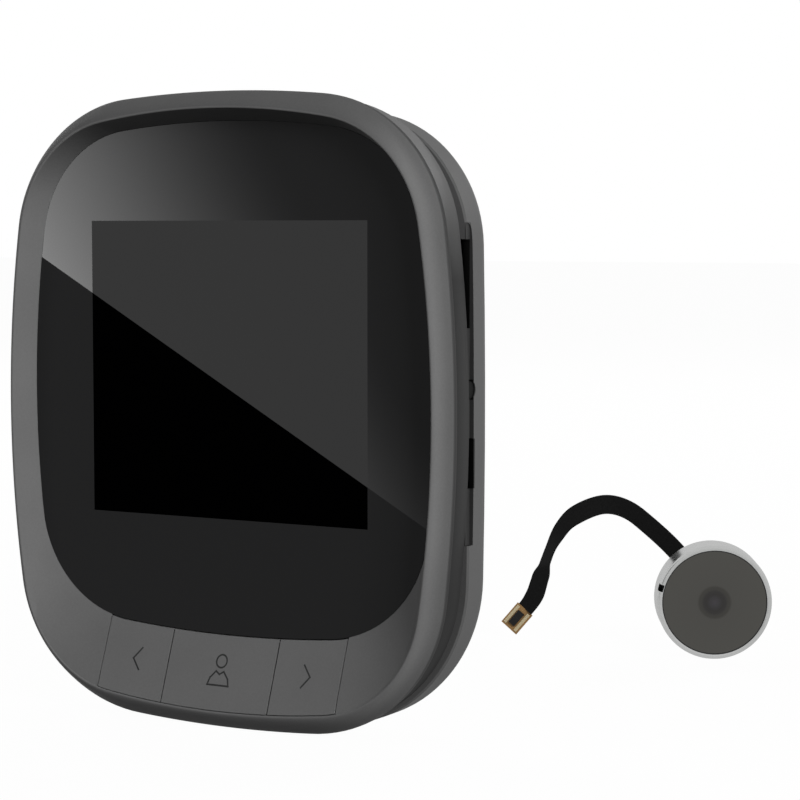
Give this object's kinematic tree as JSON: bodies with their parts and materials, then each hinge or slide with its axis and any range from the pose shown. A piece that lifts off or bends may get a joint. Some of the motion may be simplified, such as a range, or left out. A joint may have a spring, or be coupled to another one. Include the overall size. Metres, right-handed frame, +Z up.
{
  "type": "peephole door camera",
  "caption": "Door viewer set: rounded indoor monitor with dished front, chin keys and side ports on a door bracket, plus a round outdoor camera with a flat ribbon.",
  "frame": {"origin": "centre of the bracket's tube hole on the face of the door", "axes": "+Z up, the screen faces -Y, +X to the viewer's right"},
  "size_m": [0.1187, 0.1445, 0.1241],
  "materials": {
    "bezel_plastic": "satin dark grey",
    "frame_plastic": "fine matte, darker grey",
    "cover_plastic": "satin dark grey",
    "key_plastic": "satin dark grey",
    "mark_print": "dark print",
    "window_glass": "dark tinted gloss",
    "screen_layers": "unlit screen",
    "steel_sheet": "plain sheet",
    "circuit_board": "green solder mask",
    "chip_resin": "moulded black",
    "black_plastic": "moulded black",
    "flex_film": "amber film",
    "copper_alloy": "gold plated",
    "battery_wrap": "grey wrap",
    "speaker_paper": "black cone",
    "soft_rubber": "matt",
    "bracket_steel": "plated",
    "ring_chrome": "satin chrome",
    "lens_glass": "tinted",
    "ribbon_tape": "black cloth tape"
  },
  "bodies": {
    "bracket_and_camera": {"barrel_cap": "soft_rubber", "camera_board": "circuit_board", "camera_gasket": "soft_rubber", "camera_glass": "lens_glass", "camera_housing": "black_plastic", "camera_ring": "ring_chrome", "connector_board": "copper_alloy", "connector_body": "black_plastic", "connector_contacts": "copper_alloy", "door_bracket": "bracket_steel", "image_sensor": "chip_resin", "lens_barrel": "black_plastic", "lens_element": "lens_glass", "ribbon_cable": "ribbon_tape", "ribbon_root": "ribbon_tape"},
    "monitor": {"backlight": "screen_layers", "battery_lead": "soft_rubber", "battery_pack": "battery_wrap", "board_chips": "chip_resin", "board_screws": "steel_sheet", "camera_socket": "black_plastic", "card_socket": "steel_sheet", "display_window": "window_glass", "front_bezel": "bezel_plastic", "housing_screws": "steel_sheet", "key_board": "circuit_board", "key_flex": "flex_film", "key_switches": "black_plastic", "lcd_flex": "flex_film", "lcd_panel": "screen_layers", "main_board": "circuit_board", "mid_frame": "frame_plastic", "rear_cover": "cover_plastic", "rear_pads": "soft_rubber", "screen_tray": "steel_sheet", "side_switch": "black_plastic", "speaker_basket": "black_plastic", "speaker_cone": "speaker_paper", "speaker_magnet": "steel_sheet", "usb_socket": "steel_sheet", "usb_tongue": "black_plastic", "window_mask": "mark_print"},
    "left_key": {"left_button": "key_plastic", "left_mark": "mark_print", "left_plunger": "black_plastic"},
    "centre_key": {"centre_button": "key_plastic", "centre_mark": "mark_print", "centre_plunger": "black_plastic"},
    "right_key": {"right_button": "key_plastic", "right_mark": "mark_print", "right_plunger": "black_plastic"},
    "power_key": {"power_button": "black_plastic", "power_plunger": "black_plastic"}
  },
  "joints": [
    {"name": "monitor_lift", "type": "slide", "parent": "bracket_and_camera", "child": "monitor", "axis": [0, 0, 1], "range_m": [0, 0.006]},
    {"name": "left_key_press", "type": "slide", "parent": "monitor", "child": "left_key", "axis": [0, 1, 0], "range_m": [0, 0.0005], "stiffness_N_per_m": 120, "springref_m": -0.0004},
    {"name": "centre_key_press", "type": "slide", "parent": "monitor", "child": "centre_key", "axis": [0, 1, 0], "range_m": [0, 0.0005], "stiffness_N_per_m": 120, "springref_m": -0.0004},
    {"name": "right_key_press", "type": "slide", "parent": "monitor", "child": "right_key", "axis": [0, 1, 0], "range_m": [0, 0.0005], "stiffness_N_per_m": 120, "springref_m": -0.0004},
    {"name": "power_key_press", "type": "slide", "parent": "monitor", "child": "power_key", "axis": [-1, 0, 0], "range_m": [0, 0.0005], "stiffness_N_per_m": 120, "springref_m": -0.0004}
  ]
}
